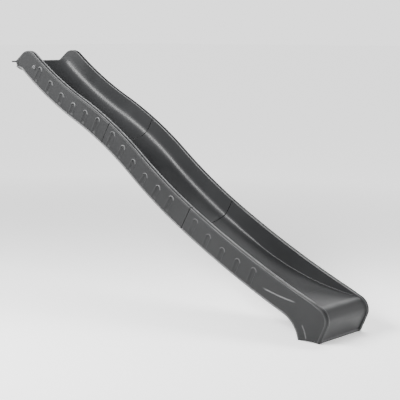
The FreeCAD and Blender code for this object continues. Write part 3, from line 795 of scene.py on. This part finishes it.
def build_mesh(name, rows, painted_highlight, inner_start):
    """A closed mesh from rows of half rings: both sides, and a cap across each end."""
    count = rows.shape[1]
    full = both_sides(rows)
    full[:, count:, 1] *= -1
    full[:, :, 2] = np.maximum(full[:, :, 2], 0)
    around = full.shape[1]
    faces = []
    for r in range(len(rows) - 1):
        for c in range(around):
            d = (c + 1) % around
            faces.append((r * around + c, r * around + d, (r + 1) * around + d, (r + 1) * around + c))
    faces += cap_faces(0, count, around)
    faces += cap_faces((len(rows) - 1) * around, count, around)
    mesh = bpy.data.meshes.new(name)
    mesh.from_pydata([tuple(v) for v in to_frame(full.reshape(-1, 3))], [], faces)
    inside = np.zeros(around)
    inside[inner_start:around - inner_start] = 1
    add_point_values(mesh, "sliding_face", np.tile(inside, len(rows)))
    # the painted highlight value at each point, which the plastic's colour reads
    add_point_values(mesh, "painted_highlight", both_sides(painted_highlight))
    item = add_object(name, mesh)
    tidy_mesh(item)
    return item


def cap_faces(base, count, around):
    """Quads across the end of a ring, between its outer and inner chains."""
    near = list(range(count))
    far = [0] + list(range(around - 1, count - 1, -1)) + [count - 1]
    faces = []
    for chain in (near, far):
        left, right = 0, count - 1
        while right - left > 1:
            quad = [chain[left], chain[left + 1], chain[right - 1], chain[right]]
            faces.append([base + v for v in dict.fromkeys(quad)])
            left += 1
            right -= 1
    return faces


def tidy_mesh(item):
    """Join coincident points, point the faces outwards, and shade smooth between sharp edges."""
    edit = bmesh.new()
    edit.from_mesh(item.data)
    bmesh.ops.remove_doubles(edit, verts=edit.verts, dist=JOIN_DISTANCE)
    bmesh.ops.recalc_face_normals(edit, faces=edit.faces)
    for face in edit.faces:
        face.smooth = True
    for edge in edit.edges:
        edge.smooth = not edge.is_manifold or edge.calc_face_angle(0) < SHARP_ANGLE
    edit.to_mesh(item.data)
    edit.free()


def rod(start, end, radius):
    """A round cutter between two points, given in the frame's metres."""
    edit = bmesh.new()
    start, end = Vector(start), Vector(end)
    turn = (end - start).to_track_quat("Z", "Y").to_matrix().to_4x4()
    place = Matrix.Translation((start + end) / 2) @ turn
    bmesh.ops.create_cone(edit, cap_ends=True, segments=40, radius1=radius, radius2=radius,
                          depth=(end - start).length, matrix=place)
    mesh = bpy.data.meshes.new("cutter")
    edit.to_mesh(mesh)
    edit.free()
    return add_object("cutter", mesh)


def drill(item, cutters):
    """Cut round holes through a mesh and leave the result in it."""
    for cutter in cutters:
        cut = item.modifiers.new("hole", "BOOLEAN")
        cut.operation = "DIFFERENCE"
        cut.object = cutter
        cut.solver = "EXACT"
    graph = bpy.context.evaluated_depsgraph_get()
    holed = bpy.data.meshes.new_from_object(item.evaluated_get(graph))
    item.modifiers.clear()
    item.data = holed
    for cutter in cutters:
        bpy.data.objects.remove(cutter)
    tidy_mesh(item)


def top_holes():
    """The flange's screw holes and the hose inlet's hole through the near wall."""
    cutters = []
    low_z = (FLANGE_TOP - FLANGE_THICKNESS - CUTTER_PAST - ORIGIN[2]) * MM
    high_z = (FLANGE_TOP + CUTTER_PAST - ORIGIN[2]) * MM
    for step in (-1.5, -0.5, 0.5, 1.5):
        y = step * FLANGE_HOLE_SPACING * MM
        cutters.append(rod((0, y, low_z), (0, y, high_z), FLANGE_HOLE_RADIUS * MM))
    x, z = to_frame(np.array([HOSE_INLET[0], 0, HOSE_INLET[1]]))[[0, 2]]
    outer_y, inner_y = -(HALF_WIDTH + CUTTER_PAST) * MM, -(CHUTE_HALF - CUTTER_PAST) * MM
    cutters.append(rod((x, outer_y, z), (x, inner_y, z), HOSE_HOLE_RADIUS * MM))
    return cutters


# ---------------------------------------------------------------- materials

# a mix node's sockets, for plain numbers and for colours: first, second and result
MIX_SOCKETS = {"FLOAT": (2, 3, 0), "RGBA": (6, 7, 2)}


class Finish:
    """A material in the making, its patches and grain laid out over the object."""

    def __init__(self, name):
        self.material = bpy.data.materials.new(name)
        self.material.use_nodes = True
        self.nodes = self.material.node_tree.nodes
        self.links = self.material.node_tree.links
        self.shader = self.nodes["Principled BSDF"]
        self.place = self.nodes.new("ShaderNodeTexCoord").outputs["Object"]

    def feed(self, socket, value):
        """Link a socket to another node's output, or give it a plain value."""
        if isinstance(value, bpy.types.NodeSocket):
            self.links.new(value, socket)
        else:
            socket.default_value = value

    def surface(self, name, value):
        self.feed(self.shader.inputs[name], value)

    def noise(self, scale, detail):
        node = self.nodes.new("ShaderNodeTexNoise")
        node.inputs["Scale"].default_value = scale
        node.inputs["Detail"].default_value = detail
        self.links.new(self.place, node.inputs["Vector"])
        return node.outputs["Fac"]

    def ranged(self, value, low, high, from_low=0.3, from_high=0.7):
        """A value carried from one range to another, and held at its ends."""
        node = self.nodes.new("ShaderNodeMapRange")
        node.inputs["From Min"].default_value = from_low
        node.inputs["From Max"].default_value = from_high
        node.inputs["To Min"].default_value = low
        node.inputs["To Max"].default_value = high
        self.links.new(value, node.inputs["Value"])
        return node.outputs["Result"]

    def tones(self, value, dark, light):
        """A colour between dark and light, as a noise value goes from low to high."""
        node = self.nodes.new("ShaderNodeValToRGB")
        low, high = node.color_ramp.elements
        low.position, low.color = 0.3, (*dark, 1)
        high.position, high.color = 0.7, (*light, 1)
        self.links.new(value, node.inputs["Fac"])
        return node.outputs["Color"]

    def mesh_value(self, name):
        node = self.nodes.new("ShaderNodeAttribute")
        node.attribute_name = name
        return node.outputs["Fac"]

    def product(self, first, second):
        """Two values multiplied, and held between 0 and 1."""
        node = self.nodes.new("ShaderNodeMath")
        node.operation = "MULTIPLY"
        node.use_clamp = True
        self.links.new(first, node.inputs[0])
        self.links.new(second, node.inputs[1])
        return node.outputs[0]

    def mix(self, kind, share, first, second):
        """first where share is 0, and second where it is 1."""
        node = self.nodes.new("ShaderNodeMix")
        node.data_type = kind
        first_socket, second_socket, result = MIX_SOCKETS[kind]
        self.links.new(share, node.inputs[0])
        self.feed(node.inputs[first_socket], first)
        self.feed(node.inputs[second_socket], second)
        return node.outputs[result]

    def grain(self, scale, detail, strength, distance):
        """A fine relief all over the surface."""
        node = self.nodes.new("ShaderNodeBump")
        node.inputs["Strength"].default_value = strength
        node.inputs["Distance"].default_value = distance
        self.links.new(self.noise(scale, detail), node.inputs["Height"])
        self.surface("Normal", node.outputs["Normal"])


def moulded_plastic():
    """Satin anthracite polyethylene: a fine moulded grain over slow changes of tone and gloss,
    a little paler on the sliding face, with a light grey painted highlight in patches along edges,
    beads and caps."""
    finish = Finish("moulded_plastic")
    sliding = finish.mesh_value("sliding_face")
    slow = finish.noise(2.2, 3.0)
    matt = finish.tones(slow, (0.009, 0.0093, 0.0097), (0.014, 0.0144, 0.0150))
    polished = finish.tones(slow, (0.016, 0.0165, 0.0171), (0.026, 0.0265, 0.0274))
    colour = finish.mix("RGBA", sliding, matt, polished)
    patchy = finish.ranged(finish.noise(14.0, 5.0), 0.45, 1.0)
    # painted highlight: light grey mixed into the colour, in patches, where the mesh's highlight value
    # marks edges, beads, caps and the lip
    painted_highlight_share = finish.product(finish.mesh_value("painted_highlight"), patchy)
    finish.surface("Base Color", finish.mix("RGBA", painted_highlight_share, colour, (0.13, 0.131, 0.133, 1)))
    gloss = finish.noise(9.0, 5.0)
    matt_gloss = finish.ranged(gloss, 0.40, 0.50)
    polished_gloss = finish.ranged(gloss, 0.33, 0.40)
    finish.surface("Roughness", finish.mix("FLOAT", sliding, matt_gloss, polished_gloss))
    finish.surface("Specular IOR Level", 0.22)
    finish.grain(900.0, 2.0, 0.12, 0.0004)
    return finish.material


def mottled(name, dark, light, roughness, scale, detail):
    """A finish whose tone and gloss change together from patch to patch."""
    finish = Finish(name)
    mottle = finish.noise(scale, detail)
    finish.surface("Base Color", finish.tones(mottle, dark, light))
    finish.surface("Roughness", finish.ranged(mottle, *roughness))
    return finish


def plain_metal(name, dark, light, roughness):
    """Metal with fine scratches and a mottled finish."""
    finish = mottled(name, dark, light, (roughness, roughness + 0.18), 260.0, 6.0)
    finish.surface("Metallic", 1.0)
    finish.grain(2400.0, 3.0, 0.2, 0.0001)
    return finish.material


def soft_polymer(name, dark, light, roughness, grain_scale):
    """Rubber or fitting plastic with a fine grain."""
    finish = mottled(name, dark, light, (roughness, roughness + 0.12), 120.0, 5.0)
    finish.grain(grain_scale, 2.0, 0.25, 0.0002)
    return finish.material


def assign(item, material):
    item.data.materials.clear()
    item.data.materials.append(material)


# ---------------------------------------------------------------- the slide

# rounding of the mouldings' ends: at the flange, above a seam, below a seam and at the foot
FLANGE_END, ABOVE_SEAM, BELOW_SEAM, FOOT_END = 1.5, 3.0, 5.0, 4.0

upper, lower = (rim.length_at_x(x) for x in SEAMS)
foot = float(rim.lengths[-1])
plastic = moulded_plastic()
skins = {
    "top": moulding("top_moulding", 0.0, upper - HALF_GAP, FLANGE_END, ABOVE_SEAM),
    "middle": moulding("middle_moulding", upper + HALF_GAP, lower - HALF_GAP, BELOW_SEAM, ABOVE_SEAM),
    "bottom": moulding("bottom_moulding", lower + HALF_GAP, foot, BELOW_SEAM, FOOT_END),
}
drill(skins["top"], top_holes())
for name, skin in skins.items():
    assign(skin, plastic)
    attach(skin, "root")
    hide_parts(name + "_section")

RUBBER_DARK, RUBBER_LIGHT = (0.012, 0.012, 0.012), (0.022, 0.022, 0.022)
NIPPLE_DARK, NIPPLE_LIGHT = (0.09, 0.09, 0.093), (0.13, 0.13, 0.134)
NUT_DARK, NUT_LIGHT = (0.030, 0.030, 0.032), (0.045, 0.045, 0.047)
finishes = {
    "bolts": plain_metal("zinc_plated_steel", (0.50, 0.51, 0.53), (0.66, 0.67, 0.68), 0.28),
    "washers": plain_metal("washer_steel", (0.46, 0.47, 0.49), (0.62, 0.63, 0.64), 0.32),
    "inserts": plain_metal("brass", (0.62, 0.45, 0.20), (0.78, 0.58, 0.30), 0.25),
    "seal": soft_polymer("seal_rubber", RUBBER_DARK, RUBBER_LIGHT, 0.62, 1800.0),
    "nipple": soft_polymer("fitting_plastic", NIPPLE_DARK, NIPPLE_LIGHT, 0.36, 1400.0),
    "nut": soft_polymer("nut_plastic", NUT_DARK, NUT_LIGHT, 0.40, 1400.0),
}
for node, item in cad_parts.items():
    kind = node.split("_")[-1]
    if kind in finishes:
        assign(item, finishes[kind])


# ---------------------------------------------------------------- stage, light and camera

GROUND_REACH = 120.0
WORLD_STRENGTH = 1.9
# the strip light lies along the chute's fall
SLOPE = (0.86, 0, -0.5)

LENS = 104.24
SENSOR_WIDTH = 36.0
CAMERA_PLACE = (6.196, -5.204, 0.200)
CAMERA_AZIMUTH = math.radians(42.045)
CAMERA_ELEVATION = math.radians(8.24)


def ground():
    """A wide pale floor under the slide, self-lit more strongly far away so that it stays pale."""
    z = cad_box[0][2]
    mesh = bpy.data.meshes.new("ground")
    corners = [(x * GROUND_REACH, y * GROUND_REACH, z) for x, y in ((-1, -1), (1, -1), (1, 1), (-1, 1))]
    mesh.from_pydata(corners, [], [(0, 1, 2, 3)])
    item = add_object("ground", mesh)
    finish = Finish("ground")
    finish.surface("Base Color", (0.9, 0.9, 0.9, 1))
    finish.surface("Roughness", 0.9)
    finish.surface("Specular IOR Level", 0.0)
    finish.surface("Emission Color", (1, 1, 1, 1))
    away = finish.nodes.new("ShaderNodeVectorMath")
    away.operation = "LENGTH"
    finish.links.new(finish.place, away.inputs[0])
    finish.surface("Emission Strength", finish.ranged(away.outputs["Value"], 0.35, 1.3, 1.5, 6.0))
    assign(item, finish.material)


def sky():
    """Bright round the horizon and dim overhead, as in a studio with pale walls."""
    world = bpy.data.worlds.new("studio")
    bpy.context.scene.world = world
    world.use_nodes = True
    nodes, links = world.node_tree.nodes, world.node_tree.links
    background = nodes["Background"]
    split = nodes.new("ShaderNodeSeparateXYZ")
    links.new(nodes.new("ShaderNodeTexCoord").outputs["Generated"], split.inputs["Vector"])
    shade = nodes.new("ShaderNodeValToRGB")
    horizon, overhead = shade.color_ramp.elements
    horizon.position, horizon.color = 0.40, (1, 1, 1, 1)
    overhead.position, overhead.color = 0.62, (0.05, 0.05, 0.05, 1)
    links.new(split.outputs["Z"], shade.inputs["Fac"])
    links.new(shade.outputs["Color"], background.inputs["Color"])
    background.inputs["Strength"].default_value = WORLD_STRENGTH


def area_light(name, place, aim, width, height, power, level=(1, 0, 0)):
    """A soft box whose width lies along level, as nearly as facing its aim allows."""
    data = bpy.data.lights.new(name, "AREA")
    data.shape = "RECTANGLE"
    data.size = width
    data.size_y = height
    data.energy = power
    item = add_object(name, data)
    back = (Vector(place) - Vector(aim)).normalized()
    across = (Vector(level) - back * back.dot(Vector(level))).normalized()
    turn = Matrix((across, back.cross(across), back)).transposed().to_4x4()
    item.matrix_world = Matrix.Translation(place) @ turn


def camera():
    """At the photograph's distance, height and angle."""
    data = bpy.data.cameras.new("camera")
    data.lens = LENS
    data.sensor_width = SENSOR_WIDTH
    level = math.cos(CAMERA_ELEVATION)
    back = Vector((math.sin(CAMERA_AZIMUTH) * level, -math.cos(CAMERA_AZIMUTH) * level,
                   math.sin(CAMERA_ELEVATION)))
    item = add_object("camera", data)
    item.location = CAMERA_PLACE
    item.rotation_euler = (-back).to_track_quat("-Z", "Y").to_euler()
    bpy.context.scene.camera = item


ground()
sky()
area_light("key", (-1.2, -3.0, 0.6), (0.2, 0.0, -0.3), 1.4, 1.4, 30)
area_light("strip", (0.5, -2.6, 1.5), (1.3, 0.0, -0.75), 3.6, 0.80, 400, SLOPE)
area_light("exit_top", (2.3, 0.9, 0.5), (2.3, 0.0, -1.3), 1.2, 0.8, 50)
area_light("exit_fill", (3.9, 0.4, -0.5), (2.4, 0.0, -1.3), 0.9, 0.9, 3)
camera()
